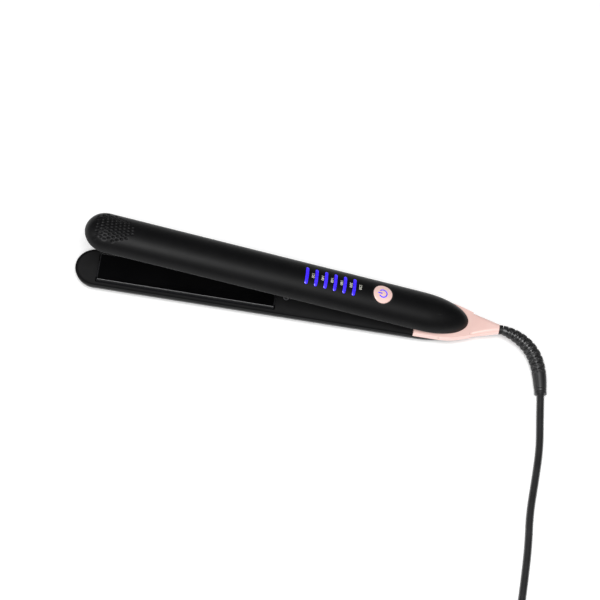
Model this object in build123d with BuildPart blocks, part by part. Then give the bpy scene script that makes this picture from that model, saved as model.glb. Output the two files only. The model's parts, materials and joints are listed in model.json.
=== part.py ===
"""Hair straightener: two hinged arms with heated plates, a tail housing, and a mains cord.

Millimetres, +Z up. The lower arm lies on its back along X, tip towards -X, and the upper
arm stands open above it. The origin is on the surface the straightener lies on, below the
middle of its length.
"""

import os
from math import cos, pi, radians, sin, tan

from build123d import *

os.makedirs("parts", exist_ok=True)

# Arms, measured along their length from the tip
LENGTH = 286.5            # tip to the outer end of the cord swivel
ARM_LENGTH = 262.3
ARM_HALF_W = 14.0
CROWN = 11.8              # height of the full half-ellipse above the inner face
REST_CUT = 0.3            # taken off the lower arm's back, which leaves the flat it lies on
NOSE_DOME = 33.0          # length of the narrowing nose
NOSE_STEPS = (0, 0.3, 0.55, 0.78, 0.92, 0.985)
NOSE_BLUNT = 2.6          # power of the curve the crown follows down to the nose: 2 is an ellipse
WALL = 1.8
GAP = 5.0                 # between the inner faces when closed
HINGE_AT = 253.0
OPEN_DEG = 10.0

# Inner covers and the heated plates
COVER_T = 1.6
COVER_PLAY = 0.1
COVER_END = 1.0           # the covers stop this far behind the hinge axis
PLATE_AT = 15.4
PLATE_L = 118.5
PLATE_W = 20.0
PLATE_PLAY = 0.8          # gap between a plate and its window, all round
PLATE_BACK = 1.8          # thickness of the plate's face
CHANNEL_W = 13.0
CHANNEL_H = 3.0
RAIL_T = 2.2
TONGUE_L = 3.0
CLOSED_PLAY = 0.05        # each plate stops this far short of the middle plane
HEATER_L = 76.0
HEATER_W = 12.0
HEATER_T = 1.8
CLIP_L = 68.0
CLIP_W = 12.6
CLIP_T = 1.1
CUSHION_AT = 46.0         # from the plate's middle
CUSHION_L = 8.0
CUSHION_W = 14.0
CUSHION_T = 1.0

# Temperature bars and power button on the upper arm's crown
BAR_AT = 147.2
BAR_PITCH = 6.5
BAR_COUNT = 6
BAR_L = 12.4
BAR_W = 2.0
BUTTON_AT = 199.4
BUTTON_R = 6.4
BUTTON_PLAY = 0.2         # gap between the button and its bezel
BUTTON_PROUD = 0.35
BEZEL_T = 0.8
MARK_R = 3.0              # power mark: its ring's outer radius
MARK_T = 0.75             # width of the mark's lines
FIT = 0.05                # clearance of trim pieces in their seats

# Hinge
PIN_R = 1.5
PIN_L = 14.9
PIN_PLAY = 0.05
EAR_R = 2.8
EAR_T = 1.2
LOWER_EAR_Y = 5.0
UPPER_EAR_Y = 6.6
BRACKET_W = 5.6           # bracket plate's height above the hinge axis
BRACKET_HALF_W = 8.2
BRACKET_U = (-19.0, -4.0)   # bracket plate's ends
SPRING_WIRE_R = 0.55
SPRING_R = 2.35
SPRING_TURNS = 4.5

# Tail housing and swivel
TAIL_AT = 227.5
TAIL_HALF_W = 13.6
TAIL_SCREW_AT = 234.0
TAIL_SCREW_Y = 8.4
TONGUE_TOP = 2.2
NECK_AT = 266.0
NECK_HALF_W = 8.6
TAIL_END_AT = 284.0
TAIL_END_R = 3.3
HOLLOW_AT = (238.0, 256.0)   # housing's hollow round the hinge, and its narrower rear
HOLLOW_HALF_W = 7.6
HOLLOW_END = 258.0
HOLLOW_END_HALF_W = 5.2
CAVITY_R = 2.3            # round the swivel's flange
SWIVEL_BORE_R = 1.1
SWIVEL_NECK_R = 1.62
WIRE_R = 0.45

# Mains cord
CORD_R = 2.5
COIL_R = 30.0             # to the middle of its turns
COIL_HALF_W = 10.3        # half the coil's section: four turns wide and two high
COIL_HALF_H = 5.15
TIE_T = 0.7
PLUG_L = 34.0
PLUG_Z = 7.5

TIP_X = -LENGTH / 2
HINGE_X = TIP_X + HINGE_AT
FACE_W = GAP / 2                          # an arm's inner face, above the hinge axis
FACE_Z = CROWN - REST_CUT                 # the lower arm's inner face, above the table
HINGE_Z = FACE_Z + FACE_W
TIP_U = -HINGE_AT
NOSE_U = ARM_LENGTH - HINGE_AT
BUTTON_U = BUTTON_AT - HINGE_AT
INNER_W = FACE_W + COVER_T                # a cover's inner side
BEZEL_R = BUTTON_R + BUTTON_PLAY + BEZEL_T
PLATE_MIDDLE = TIP_U + PLATE_AT + PLATE_L / 2
PLATE_BACK_W = INNER_W + PLATE_BACK       # back of a plate's face

# Each arm's own frame: U along it towards the tail, W away from the other arm, origin on
# the hinge axis
OPEN = radians(OPEN_DEG)
HINGE = (HINGE_X, 0, HINGE_Z)
UPPER = Plane(origin=HINGE, x_dir=(cos(OPEN), 0, -sin(OPEN)), z_dir=(sin(OPEN), 0, cos(OPEN)))
LOWER = Plane(origin=HINGE, x_dir=(1, 0, 0), z_dir=(0, 0, -1))
LEVEL = Plane(origin=(TIP_X, 0, HINGE_Z), x_dir=(1, 0, 0))     # hinge height, X from the tip


def save(part, label):
    part.label = label
    export_step(part, f"parts/{label}.step")


def from_tip(x, y, z):
    """A point of the part's frame, with its X counted from the lower arm's tip."""
    return (TIP_X + x, y, z)


def across(arm, u):
    """Plane across an arm at U: its X is the arm's width and its Y is W."""
    return Plane(origin=arm.from_local_coords((u, 0, 0)), x_dir=arm.y_dir, z_dir=arm.x_dir)


def along(arm, y=0.0):
    """Plane along an arm at a width Y: its X is U and its Y is W."""
    return Plane(origin=arm.from_local_coords((0, y, 0)), x_dir=arm.x_dir, z_dir=-arm.y_dir)


def draw_half_ellipse(middle, half_w, crown):
    """Half an ellipse that stands on an arm's inner face, drawn into the open sketch."""
    with Locations((middle, FACE_W)):
        Ellipse(half_w, crown)
    with Locations((middle, FACE_W - crown)):
        Rectangle(4 * half_w, 2 * crown, mode=Mode.SUBTRACT)


def tip_dome(arm, inset):
    """Half of a round dome, turned about W at the tip."""
    with BuildPart(mode=Mode.PRIVATE) as form:
        with BuildSketch(across(arm, TIP_U + ARM_HALF_W)):
            draw_half_ellipse(0, ARM_HALF_W - inset, CROWN - inset)
            with Locations((ARM_HALF_W, FACE_W)):
                Rectangle(2 * ARM_HALF_W, 4 * CROWN, mode=Mode.SUBTRACT)
        upright = Axis(arm.from_local_coords((TIP_U + ARM_HALF_W, 0, 0)), arm.z_dir)
        revolve(axis=upright, revolution_arc=-180)
    return form.part


def arm_bar(arm, inset=0.0):
    """Solid of an arm: half an ellipse in section, domed at the tip and narrowed at the nose."""
    half_w = ARM_HALF_W - inset
    crown = CROWN - inset
    reach = NOSE_DOME - inset
    nose_start = NOSE_U - NOSE_DOME
    with BuildPart(mode=Mode.PRIVATE) as bar:
        with BuildSketch(across(arm, TIP_U + ARM_HALF_W)):
            draw_half_ellipse(0, half_w, crown)
        extrude(amount=nose_start - TIP_U - ARM_HALF_W)
        with BuildPart(mode=Mode.PRIVATE) as nose:
            for share in NOSE_STEPS:
                narrow = (1 - share**2) ** 0.5
                lower = (1 - share**NOSE_BLUNT) ** (1 / NOSE_BLUNT)
                with BuildSketch(across(arm, nose_start + share * reach)):
                    draw_half_ellipse(0, half_w * narrow, crown * lower)
            loft()
        add(nose.part)
        add(tip_dome(arm, inset))
    return bar.part


def block(arm, u, y, w, corner=0.0):
    """Box between pairs of limits along an arm's U, Y and W."""
    with BuildPart(mode=Mode.PRIVATE) as box:
        with BuildSketch(arm.offset(w[0])):
            with Locations(((u[0] + u[1]) / 2, (y[0] + y[1]) / 2)):
                if corner:
                    RectangleRounded(u[1] - u[0], y[1] - y[0], corner)
                else:
                    Rectangle(u[1] - u[0], y[1] - y[0])
        extrude(amount=w[1] - w[0])
    return box.part


def posts(arm, places, radius, w):
    """Round posts that stand along W at places in U and Y."""
    with BuildPart(mode=Mode.PRIVATE) as group:
        with BuildSketch(arm.offset(w[0])):
            with Locations(*places):
                Circle(radius)
        extrude(amount=w[1] - w[0])
    return group.part


COVER_SCREWS = [(TIP_U + 141.2, 0), (TIP_U + 222, 0)]
BRACKET_SCREWS = [(-12, -5.9), (-12, 5.9)]
BOARD_SCREWS = [(BUTTON_U - 9.4, 0), (BUTTON_U + 9.4, 0)]
TAIL_SCREWS = [(TAIL_SCREW_AT, -TAIL_SCREW_Y), (TAIL_SCREW_AT, TAIL_SCREW_Y)]     # X from the tip
BOARD_U = (TIP_U + 144.4, TIP_U + 215.0)
BOARD_W = (8.3, 9.5)
BOSS_R = 2.6


def casing(arm, board_posts):
    """Hollow outer shell of an arm, with its screw bosses."""
    bosses = COVER_SCREWS + BRACKET_SCREWS
    with BuildPart(mode=Mode.PRIVATE) as shell:
        add(arm_bar(arm))
        add(arm_bar(arm, WALL), mode=Mode.SUBTRACT)
        with BuildPart(mode=Mode.PRIVATE) as stand:
            add(posts(arm, COVER_SCREWS, BOSS_R, (INNER_W, FACE_W + CROWN)))
            add(posts(arm, BRACKET_SCREWS, 2.0, (BRACKET_W + EAR_T, FACE_W + CROWN)))
            if board_posts:
                add(posts(arm, BOARD_SCREWS, 2.2, (BOARD_W[1], FACE_W + CROWN)))
            add(arm_bar(arm, WALL / 2), mode=Mode.INTERSECT)
        add(stand.part)
        add(posts(arm, COVER_SCREWS, 0.9, (INNER_W, INNER_W + 6)), mode=Mode.SUBTRACT)
        add(posts(arm, BRACKET_SCREWS, 0.9, (BRACKET_W, BRACKET_W + 4)), mode=Mode.SUBTRACT)
        if board_posts:
            add(posts(arm, BOARD_SCREWS, 0.8, (BOARD_W[1], BOARD_W[1] + 2.4)), mode=Mode.SUBTRACT)
    return shell.part


def plate_window(arm):
    """Hole in an inner cover, one even gap larger than the plate."""
    u = (TIP_U + PLATE_AT - PLATE_PLAY, TIP_U + PLATE_AT + PLATE_L + PLATE_PLAY)
    half = PLATE_W / 2 + PLATE_PLAY
    return block(arm, u, (-half, half), (FACE_W - 1, INNER_W + 1), corner=1.2)


def behind_hinge(arm):
    """Wedge that frees an arm's inner face behind the hinge when the arm opens."""
    rise = (NOSE_U + 3) * tan(OPEN)
    with BuildPart(mode=Mode.PRIVATE) as wedge:
        with BuildSketch(along(arm)):
            with BuildLine():
                Polyline((-1, -5), (-1, FACE_W), (NOSE_U + 2, FACE_W + rise), (NOSE_U + 2, -5), close=True)
            make_face()
        extrude(amount=20, both=True)
    return wedge.part


def inner_cover(arm, own_ear_y, other_ear_y):
    """Flat cover that closes an arm round its plate, with slots for both brackets' ears."""
    with BuildPart(mode=Mode.PRIVATE) as cover:
        add(arm_bar(arm, WALL + COVER_PLAY))
        add(block(arm, (TIP_U - 1, COVER_END), (-20, 20), (FACE_W - 1, INNER_W)), mode=Mode.INTERSECT)
        add(plate_window(arm), mode=Mode.SUBTRACT)
        add(block(arm, (-13.5, 4.5), (-4.9, 4.9), (0, INNER_W + 1)), mode=Mode.SUBTRACT)
        for side in (-1, 1):
            own = side * own_ear_y
            other = side * other_ear_y
            add(block(arm, (-8.6, 4.2), (own - 0.8, own + 0.8), (0, INNER_W + 1)), mode=Mode.SUBTRACT)
            add(block(arm, (-3.4, 3.4), (other - 0.8, other + 0.8), (0, INNER_W + 1)), mode=Mode.SUBTRACT)
        add(posts(arm, COVER_SCREWS, 1.2, (FACE_W - 1, INNER_W + 1)), mode=Mode.SUBTRACT)
        add(posts(arm, COVER_SCREWS, 2.1, (FACE_W - 1, FACE_W + 0.8)), mode=Mode.SUBTRACT)
    return cover.part


def heated_plate(arm):
    """Extruded plate: a flat face with rounded long edges, and two rails that hold the heater."""
    u0 = TIP_U + PLATE_AT
    half = PLATE_W / 2
    rail = CHANNEL_W / 2
    back = PLATE_BACK_W
    with BuildPart(mode=Mode.PRIVATE) as plate:
        add(block(arm, (u0, u0 + PLATE_L), (-half, half), (CLOSED_PLAY, back)))
        face = plate.faces().filter_by(GeomType.PLANE).sort_by(lambda f: arm.to_local_coords(f.center()).Z)[0]
        fillet(face.edges(), 0.8)
        for side in (-1, 1):
            inner = side * rail
            outer = side * (rail + RAIL_T)
            add(block(arm, (u0 + 6, u0 + PLATE_L - 6), sorted((inner, outer)), (back, back + CHANNEL_H)))
        for start in (u0 - TONGUE_L, u0 + PLATE_L):
            add(block(arm, (start, start + TONGUE_L), (-6, 6), (INNER_W + 0.05, back)))
    return plate.part


def bracket(arm, ear_y):
    """Folded steel bracket: a plate screwed inside an arm, with two ears that hold the pin."""
    top = BRACKET_W + EAR_T
    with BuildPart(mode=Mode.PRIVATE) as leaf:
        add(block(arm, (BRACKET_U[0], -9.5), (-BRACKET_HALF_W, BRACKET_HALF_W), (BRACKET_W, top)))
        add(block(arm, (-9.6, BRACKET_U[1]), (-ear_y - EAR_T / 2, ear_y + EAR_T / 2), (BRACKET_W, top)))
        add(block(arm, (-13.5, -1), (-3.2, 3.2), (BRACKET_W - 1, top + 1)), mode=Mode.SUBTRACT)
        for side in (-1, 1):
            with BuildSketch(along(arm, side * ear_y)):
                with BuildLine():
                    Polyline((-8, top), (-EAR_R, 0), (1.2, 0), (1.2, 2.6), (BRACKET_U[1], top), close=True)
                make_face()
                Circle(EAR_R)
            extrude(amount=EAR_T / 2, both=True)
        with BuildSketch(along(arm)):
            Circle(PIN_R + PIN_PLAY)
        extrude(amount=20, both=True, mode=Mode.SUBTRACT)
        add(posts(arm, BRACKET_SCREWS, 1.15, (BRACKET_W - 1, top + 1)), mode=Mode.SUBTRACT)
    return leaf.part


def screws(arm, places, seat, head_r, head_t, length):
    """Pan-head screws driven along W, their heads' inner sides at the seat."""
    with BuildPart(mode=Mode.PRIVATE) as group:
        add(posts(arm, places, head_r, (seat - head_t, seat)))
        add(posts(arm, places, 0.88, (seat, seat + length)))
        with BuildSketch(arm.offset(seat - head_t)):
            with Locations(*places):
                Rectangle(head_r * 1.3, 0.45)
                Rectangle(0.45, head_r * 1.3)
        extrude(amount=0.5, mode=Mode.SUBTRACT)
    return group.part


def heater(arm):
    """Ceramic strip that lies in the plate's channel."""
    u = (PLATE_MIDDLE - HEATER_L / 2, PLATE_MIDDLE + HEATER_L / 2)
    return block(arm, u, (-HEATER_W / 2, HEATER_W / 2), (PLATE_BACK_W, PLATE_BACK_W + HEATER_T), corner=0.6)


def heater_clip(arm):
    """Aluminium bar that presses the heater into the channel."""
    u = (PLATE_MIDDLE - CLIP_L / 2, PLATE_MIDDLE + CLIP_L / 2)
    base = PLATE_BACK_W + HEATER_T
    return block(arm, u, (-CLIP_W / 2, CLIP_W / 2), (base, base + CLIP_T), corner=0.6)


def cushions(arm):
    """Silicone blocks on the rails' ends, which carry the floating plate."""
    base = PLATE_BACK_W + CHANNEL_H
    width = (-CUSHION_W / 2, CUSHION_W / 2)
    with BuildPart(mode=Mode.PRIVATE) as group:
        for middle in (PLATE_MIDDLE - CUSHION_AT, PLATE_MIDDLE + CUSHION_AT):
            u = (middle - CUSHION_L / 2, middle + CUSHION_L / 2)
            add(block(arm, u, width, (base, base + CUSHION_T), corner=1.0))
    return group.part


def crown_trim(shape):
    """A piece cut to the upper arm's outer surface."""
    with BuildPart(mode=Mode.PRIVATE) as trim:
        add(shape)
        add(arm_bar(UPPER), mode=Mode.INTERSECT)
    return trim.part


def bar_slots(grow, w):
    """The temperature bars' outlines: one rounded slot for each, across the arm."""
    with BuildPart(mode=Mode.PRIVATE) as group:
        with BuildSketch(UPPER.offset(w[0])):
            for i in range(BAR_COUNT):
                with Locations((TIP_U + BAR_AT + i * BAR_PITCH, 0)):
                    SlotOverall(BAR_L + 2 * grow, BAR_W + 2 * grow, rotation=90)
        extrude(amount=w[1] - w[0])
    return group.part


def symbol_sketch(plane):
    """Power mark: a broken ring with a short line through the break, towards the tip."""
    with BuildSketch(plane) as mark:
        with Locations((BUTTON_U, 0)):
            Circle(MARK_R)
            Circle(MARK_R - MARK_T, mode=Mode.SUBTRACT)
        with Locations((BUTTON_U - MARK_R, 0)):
            Rectangle(MARK_R, MARK_R, mode=Mode.SUBTRACT)
        with Locations((BUTTON_U - 0.65 * MARK_R, 0)):
            Rectangle(MARK_R, MARK_T)
    return mark.sketch


# Lower arm
with BuildPart() as lower_shell:
    add(casing(LOWER, False))
    add(block(LOWER, (TIP_U - 1, NOSE_U + 1), (-20, 20), (HINGE_Z, HINGE_Z + 2)), mode=Mode.SUBTRACT)
save(lower_shell.part, "lower_shell")
with BuildPart() as lower_cover:
    add(inner_cover(LOWER, LOWER_EAR_Y, UPPER_EAR_Y))
    add(posts(LOWER, [(x - HINGE_AT, y) for x, y in TAIL_SCREWS], 1.15, (0, INNER_W + 1)), mode=Mode.SUBTRACT)
save(lower_cover.part, "lower_inner_cover")

# Upper arm
with BuildPart() as upper_shell:
    add(casing(UPPER, True))
    add(behind_hinge(UPPER), mode=Mode.SUBTRACT)
    add(bar_slots(FIT, (FACE_W + 6, FACE_W + CROWN + 1)), mode=Mode.SUBTRACT)
    add(posts(UPPER, [(BUTTON_U, 0)], BEZEL_R + FIT, (FACE_W + 6, FACE_W + CROWN + 1)), mode=Mode.SUBTRACT)
save(upper_shell.part, "upper_shell")
with BuildPart() as upper_cover:
    add(inner_cover(UPPER, UPPER_EAR_Y, LOWER_EAR_Y))
    add(behind_hinge(UPPER), mode=Mode.SUBTRACT)
save(upper_cover.part, "upper_inner_cover")

# Pieces that both arms have
for arm, name, ear_y in ((LOWER, "lower", LOWER_EAR_Y), (UPPER, "upper", UPPER_EAR_Y)):
    save(heated_plate(arm), f"{name}_plate")
    save(heater(arm), f"{name}_heater")
    save(heater_clip(arm), f"{name}_heater_clip")
    save(cushions(arm), f"{name}_plate_cushions")
    save(bracket(arm, ear_y), f"{name}_hinge_bracket")
    save(screws(arm, COVER_SCREWS, FACE_W + 0.8, 1.9, 0.7, 6.0), f"{name}_cover_screws")
    save(screws(arm, BRACKET_SCREWS, BRACKET_W, 1.8, 1.0, 3.6), f"{name}_bracket_screws")

# Hinge pin and opening spring
with BuildPart() as hinge_pin:
    with BuildSketch(Plane(origin=(HINGE_X, -PIN_L / 2, HINGE_Z), x_dir=(1, 0, 0), z_dir=(0, 1, 0))):
        Circle(PIN_R)
    extrude(amount=PIN_L)
    chamfer(hinge_pin.edges().filter_by(GeomType.CIRCLE), 0.3)
save(hinge_pin.part, "hinge_pin")

SPRING_PITCH = 2 * SPRING_WIRE_R + 0.12
SPRING_H = SPRING_TURNS * SPRING_PITCH
with BuildPart() as opening_spring:
    with BuildLine(mode=Mode.PRIVATE):
        middle = (HINGE_X, -SPRING_H / 2, HINGE_Z)
        coil = Helix(SPRING_PITCH, SPRING_H, SPRING_R, center=middle, direction=(0, 1, 0))
    if (coil % 0).X < 0:
        coil = coil.rotate(Axis((HINGE_X, 0, HINGE_Z), (0, 1, 0)), 180)
    with BuildSketch(Plane(origin=coil @ 0, z_dir=coil % 0)):
        Circle(SPRING_WIRE_R)
    sweep(path=coil, is_frenet=True)
    for end in (coil @ 0, coil @ 1):
        drop = -1 if end.Z < HINGE_Z else 1
        with BuildSketch(Plane(origin=end, z_dir=(-1, 0, 0.13 * drop))):
            Circle(SPRING_WIRE_R)
        extrude(amount=11)
save(opening_spring.part, "opening_spring")


# Tail housing: one form, parted level with the hinge axis
TAIL_OUTLINE = [(TAIL_AT, TAIL_HALF_W), (243.0, TAIL_HALF_W), (256.5, 11.8), (NECK_AT, NECK_HALF_W)]


def tail_slab():
    """The housing's flat part, between the arms."""
    with BuildPart(mode=Mode.PRIVATE) as slab:
        with BuildSketch(LEVEL.offset(-FACE_W)):
            with BuildLine():
                for side in (1, -1):
                    points = [(x, side * y) for x, y in TAIL_OUTLINE]
                    Line(points[0], points[1])
                    Spline(points[1:], tangents=[(1, 0), (1, -0.3 * side)])
                for x, y in (TAIL_OUTLINE[0], TAIL_OUTLINE[-1]):
                    Line((x, y), (x, -y))
            make_face()
        extrude(amount=FACE_W + TONGUE_TOP)
    return slab.part


def tail_section(at, width, low, high, corner):
    """Rounded section across the housing, between two heights about the hinge axis."""
    middle = Plane(origin=from_tip(at, 0, HINGE_Z + (low + high) / 2), x_dir=(0, 1, 0), z_dir=(1, 0, 0))
    with BuildSketch(middle, mode=Mode.PRIVATE) as section:
        RectangleRounded(width, high - low, corner)
    return section.sketch


def round_bore(radius, x):
    """Round hole along the cord's axis, between two distances from the tip."""
    with BuildPart(mode=Mode.PRIVATE) as bore:
        with BuildSketch(Plane(origin=from_tip(x[0], 0, HINGE_Z), x_dir=(0, 1, 0), z_dir=(1, 0, 0))):
            Circle(radius)
        extrude(amount=x[1] - x[0])
    return bore.part


with BuildPart() as tail:
    add(tail_slab())
    with BuildPart(mode=Mode.PRIVATE) as cone:
        add(tail_section(NECK_AT, 2 * NECK_HALF_W, -FACE_W, TONGUE_TOP, 2.2))
        add(tail_section(275.0, 11.8, -3.2, 3.1, 3.1))
        add(tail_section(TAIL_END_AT, 2 * TAIL_END_R, -TAIL_END_R, TAIL_END_R, TAIL_END_R - 0.02))
        loft()
    add(cone.part)
    with BuildPart(mode=Mode.PRIVATE) as hollow:
        add(block(LEVEL, HOLLOW_AT, (-HOLLOW_HALF_W, HOLLOW_HALF_W), (-9, 9)))
        end_width = (-HOLLOW_END_HALF_W, HOLLOW_END_HALF_W)
        add(block(LEVEL, (HOLLOW_AT[1] - 1, HOLLOW_END), end_width, (-9, 9)))
    add(hollow.part, mode=Mode.SUBTRACT)
    add(round_bore(1.3, (HOLLOW_END - 1, 277)), mode=Mode.SUBTRACT)
    add(round_bore(CAVITY_R, (275.4, 277.4)), mode=Mode.SUBTRACT)
    add(round_bore(SWIVEL_NECK_R + 0.08, (277, TAIL_END_AT + 1)), mode=Mode.SUBTRACT)
    add(posts(LEVEL, TAIL_SCREWS, 0.9, (-FACE_W - 1, 1.6)), mode=Mode.SUBTRACT)
for label, w in (("tail_housing_lower", (-9, 0)), ("tail_housing_upper", (0, 9))):
    with BuildPart() as half:
        add(tail.part)
        add(block(LEVEL, (TAIL_AT - 1, TAIL_END_AT + 1), (-20, 20), w), mode=Mode.INTERSECT)
    save(half.part, label)
save(screws(LEVEL, TAIL_SCREWS, -INNER_W, 1.9, 0.9, 5.4), "tail_screws")

# Swivel: a flange held in the housing, a neck, and the collar that shows
with BuildPart() as cord_swivel:
    add(round_bore(2.1, (275.6, 277.2)))
    add(round_bore(SWIVEL_NECK_R, (277.2, 284.3)))
    add(round_bore(3.1, (284.3, LENGTH)))
    add(round_bore(SWIVEL_BORE_R, (275, LENGTH + 1)), mode=Mode.SUBTRACT)
save(cord_swivel.part, "cord_swivel")

# Supply wires: from the swivel through the housing, under the pin, into the lower arm
with BuildPart() as supply_wires:
    for y, reach in ((-3.45, 150.0), (3.45, 170.0)):
        near = 0.55 if y > 0 else -0.55
        with BuildLine() as route:
            FilletPolyline(
                from_tip(283.0, near, HINGE_Z), from_tip(260.5, near, HINGE_Z),
                from_tip(255.5, y, HINGE_Z - 2.6), from_tip(240.0, y, HINGE_Z - 4.85),
                from_tip(reach, y, HINGE_Z - 4.85), radius=3.0)
        with BuildSketch(Plane(origin=route.line @ 0, z_dir=route.line % 0)):
            Circle(WIRE_R)
        sweep(path=route.line)
save(supply_wires.part, "supply_wires")

# Thermal fuse beside the lower heater's end
with BuildPart() as thermal_fuse:
    with BuildSketch(Plane(origin=from_tip(150.0, 0, HINGE_Z - 7.2), x_dir=(0, 1, 0), z_dir=(1, 0, 0))):
        Circle(1.9)
    extrude(amount=11)
save(thermal_fuse.part, "thermal_fuse")

# Thermistor bead on the upper heater's clip
clip_top = PLATE_BACK_W + HEATER_T + CLIP_T
bead = block(UPPER, (TIP_U + 72, TIP_U + 77), (-1.5, 1.5), (clip_top, clip_top + 1.3), corner=0.7)
save(bead, "thermistor")

# Control board with its parts
with BuildPart() as control_board:
    add(block(UPPER, BOARD_U, (-7.0, 7.0), BOARD_W, corner=1.0))
    add(posts(UPPER, BOARD_SCREWS, 1.0, (BOARD_W[0] - 1, BOARD_W[1] + 1)), mode=Mode.SUBTRACT)
save(control_board.part, "control_board")
save(screws(UPPER, BOARD_SCREWS, BOARD_W[0], 1.6, 0.8, 3.2), "board_screws")
with BuildPart() as board_parts:
    add(block(UPPER, (TIP_U + 146, TIP_U + 155), (-5, 5), (BOARD_W[0] - 2.6, BOARD_W[0])))
    add(block(UPPER, (TIP_U + 159, TIP_U + 171), (-4, 4), (BOARD_W[0] - 3.2, BOARD_W[0])))
    add(block(UPPER, (TIP_U + 175, TIP_U + 183), (-3, 3), (BOARD_W[0] - 1.6, BOARD_W[0])))
save(board_parts.part, "board_components")
with BuildPart() as led_chips:
    for i in range(BAR_COUNT):
        u = TIP_U + BAR_AT + i * BAR_PITCH
        add(block(UPPER, (u - 0.8, u + 0.8), (-1.6, 1.6), (BOARD_W[1], BOARD_W[1] + 0.7)))
save(led_chips.part, "led_chips")
with BuildPart() as tact_switch:
    add(block(UPPER, (BUTTON_U - 2.6, BUTTON_U + 2.6), (-2.6, 2.6), (BOARD_W[1], BOARD_W[1] + 0.9)))
    add(posts(UPPER, [(BUTTON_U, 0)], 1.2, (BOARD_W[1] + 0.9, BOARD_W[1] + 1.1)))
save(tact_switch.part, "tact_switch")
save(crown_trim(bar_slots(0, (BOARD_W[1] + 0.9, FACE_W + CROWN + 1))), "light_bars")

# Button bezel, button and its inlaid mark
TOP_W = FACE_W + CROWN
with BuildPart() as bezel:
    add(posts(UPPER, [(BUTTON_U, 0)], BEZEL_R, (TOP_W - 3.6, TOP_W + 1)))
    add(posts(UPPER, [(BUTTON_U, 0)], BUTTON_R + BUTTON_PLAY, (TOP_W - 5, TOP_W + 2)), mode=Mode.SUBTRACT)
    add(arm_bar(UPPER), mode=Mode.INTERSECT)
    add(arm_bar(UPPER, WALL), mode=Mode.SUBTRACT)
save(bezel.part, "button_bezel")
with BuildPart() as button_form:
    add(posts(UPPER, [(BUTTON_U, 0)], BUTTON_R, (TOP_W - 2.4, TOP_W + 2)))
    add(arm_bar(UPPER, -BUTTON_PROUD), mode=Mode.INTERSECT)
with BuildPart() as symbol:
    add(symbol_sketch(UPPER.offset(TOP_W - 0.6)))
    extrude(amount=3)
    add(arm_bar(UPPER, -BUTTON_PROUD), mode=Mode.INTERSECT)
save(symbol.part, "power_symbol")
with BuildPart() as power_button:
    add(button_form.part)
    add(posts(UPPER, [(BUTTON_U, 0)], 1.3, (BOARD_W[1] + 1.75, TOP_W - 2.4)))
    add(symbol.part, mode=Mode.SUBTRACT)
save(power_button.part, "power_button")

# Mains cord. Strain relief: round sections along its bend, as x from the tip, y, z, radius
RELIEF = [(286.7, 0, 14.0, 3.1), (293.5, -1.3, 13.6, 4.3), (300.8, -4.6, 12.4, 5.0), (307.2, -9.7, 10.8, 5.2),
          (311.9, -16.5, 9.0, 4.9), (315.0, -25.5, 7.0, 4.4), (316.8, -38.5, 5.0, 4.1)]
with BuildLine():
    relief_line = Spline([from_tip(x, y, z) for x, y, z, r in RELIEF], tangents=[(1, 0, 0), (0.1, -1, -0.1)])
with BuildPart() as strain_relief:
    for x, y, z, radius in RELIEF:
        at = relief_line.param_at_point(Vector(*from_tip(x, y, z)))
        with BuildSketch(Plane(origin=from_tip(x, y, z), z_dir=relief_line % at)):
            Circle(radius)
    loft()
save(strain_relief.part, "strain_relief")

# The cord's route, as x from the tip, y and z: down to the table and along it to the coil
COIL_X = 277.4
COIL_Y = -240.0
COIL_OUT = 37.6           # radius of the outermost turn, where the cord joins and leaves
PLUG_X = COIL_X - 45
ROUTE = [(316.8, -38.5, 5.0), (318.0, -55.0, 3.3), (319.6, -77.0, 2.5), (318.2, -101.0, 2.5),
         (316.5, -124.0, 2.5), (317.3, -147.0, 2.5), (316.6, -171.0, 2.5), (315.2, -200.0, 2.5),
         (COIL_X + COIL_OUT - 0.4, COIL_Y + 10, 3.3)]
PLUG_ROUTE = [(COIL_X, COIL_Y - COIL_OUT, 8.2), (COIL_X - 14, COIL_Y - COIL_OUT - 0.2, 8.0),
              (COIL_X - 30, COIL_Y - COIL_OUT + 0.2, 7.7), (PLUG_X, COIL_Y - COIL_OUT, PLUG_Z)]


def cord_tube(route, label):
    """Tube of the cord's diameter along straight runs joined by the largest arcs that fit."""
    points = [Vector(*from_tip(*p)) for p in route]
    radii = []
    for before, corner, after in zip(points, points[1:], points[2:]):
        turn = radians((corner - before).get_angle(after - corner))
        shorter = min((corner - before).length, (after - corner).length)
        radii.append(0.45 * shorter / tan(turn / 2))
    with BuildLine():
        path = FilletPolyline(*points, radius=radii)
    with BuildPart(mode=Mode.PRIVATE) as tube:
        with BuildSketch(Plane(origin=path @ 0, z_dir=path % 0)):
            Circle(CORD_R)
        sweep(path=path)
    full = path.length * pi * CORD_R**2
    print(label, "radii", [round(r) for r in radii], "length", round(path.length, 1))
    print(label, "share of section times length", round(tube.part.volume / full, 4))
    save(tube.part, label)


cord_tube(ROUTE, "cord_tube")
cord_tube(PLUG_ROUTE, "plug_lead")
with BuildPart() as cord_coil:
    with BuildSketch(Plane.XZ):
        with Locations((COIL_R, TIE_T + COIL_HALF_H)):
            RectangleRounded(2 * COIL_HALF_W, 2 * COIL_HALF_H, 2.4)
    revolve(axis=Axis.Z)
coil_place = Pos(*from_tip(COIL_X, COIL_Y, 0))
save(coil_place * cord_coil.part, "cord_coil")
with BuildPart() as cord_tie:
    with BuildSketch(Plane.XZ.offset(-3.5)):
        with Locations((-COIL_R, TIE_T + COIL_HALF_H)):
            RectangleRounded(2 * (COIL_HALF_W + TIE_T), 2 * (COIL_HALF_H + TIE_T), 2.8)
            RectangleRounded(2 * COIL_HALF_W + 0.04, 2 * COIL_HALF_H + 0.04, 2.4, mode=Mode.SUBTRACT)
    extrude(amount=7)
save(coil_place * cord_tie.part, "cord_tie")

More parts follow.
